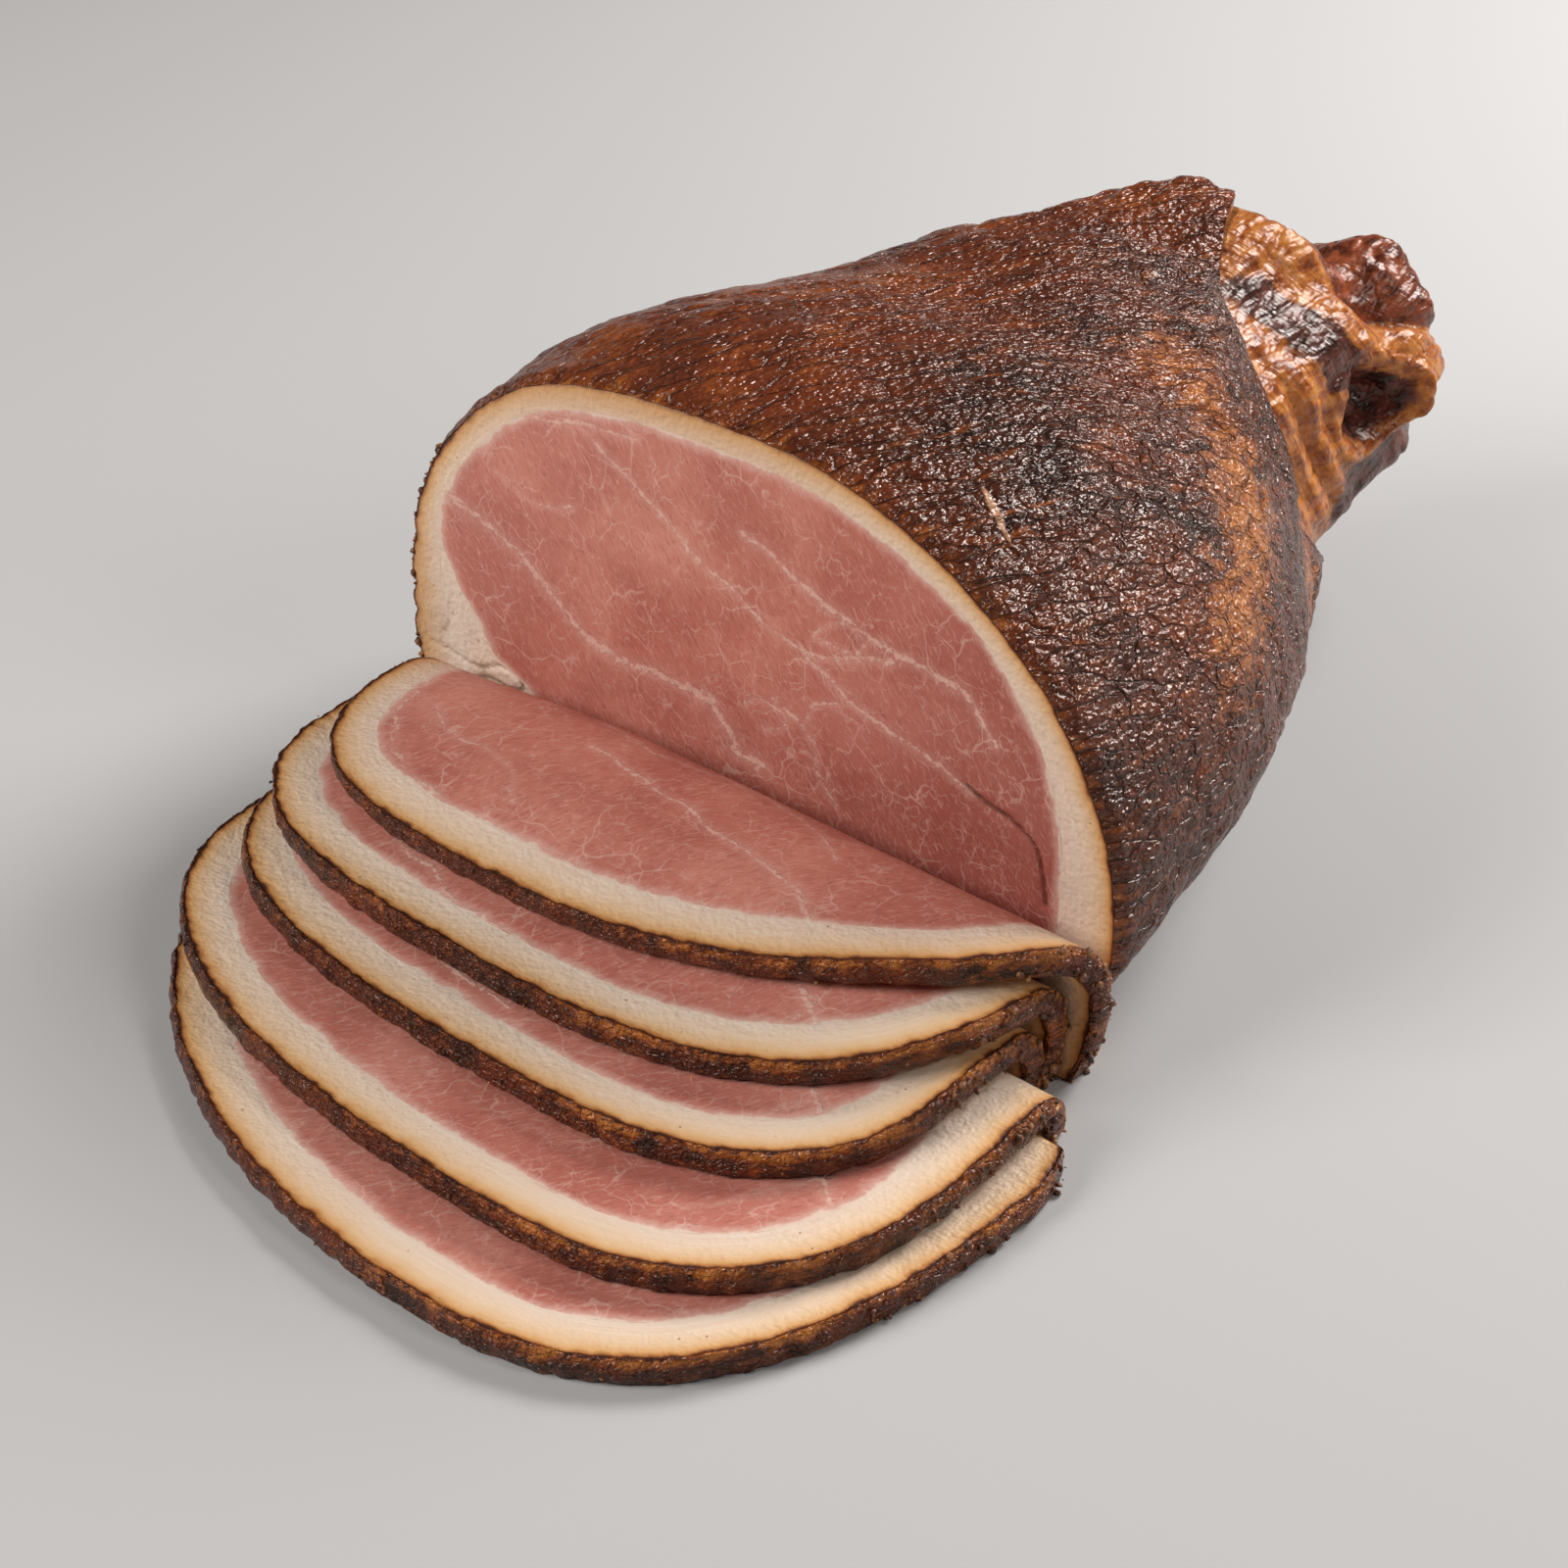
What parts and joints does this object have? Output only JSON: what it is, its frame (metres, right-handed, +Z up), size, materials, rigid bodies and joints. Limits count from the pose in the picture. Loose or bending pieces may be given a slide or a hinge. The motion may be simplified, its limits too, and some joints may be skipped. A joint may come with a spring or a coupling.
{
  "type": "smoked ham",
  "caption": "Smoked ham on its side with dark rind, cut open at the thick end, bare hock behind, and thick slices fanned out in front of the cut.",
  "frame": {"origin": "centre of the bounding box's foot, on the surface that the ham and its slices lie on", "axes": "+X to the right across the cut face, +Y from the slices through the cut face to the hock, +Z up"},
  "size_m": [0.2308, 0.392, 0.1237],
  "materials": {
    "rind_and_fat": "dark mahogany smoked rind with a crackled sheen, cream fat at the cut",
    "ham_meat": "moist rose-pink cured meat with fine pale marbling, amber to brown where it is bare at the hock",
    "slice_meat": "moist rose-pink cured meat with fine pale marbling",
    "slice_fat": "cream fat turning golden, with a dark crumbly rind edge"
  },
  "bodies": {
    "root": {"ham_fat": "rind_and_fat", "ham_lean": "ham_meat", "slice_1_lean": "slice_meat", "slice_1_fat": "slice_fat", "slice_2_lean": "slice_meat", "slice_2_fat": "slice_fat", "slice_3_lean": "slice_meat", "slice_3_fat": "slice_fat", "slice_4_lean": "slice_meat", "slice_4_fat": "slice_fat", "slice_5_lean": "slice_meat", "slice_5_fat": "slice_fat"}
  },
  "joints": []
}
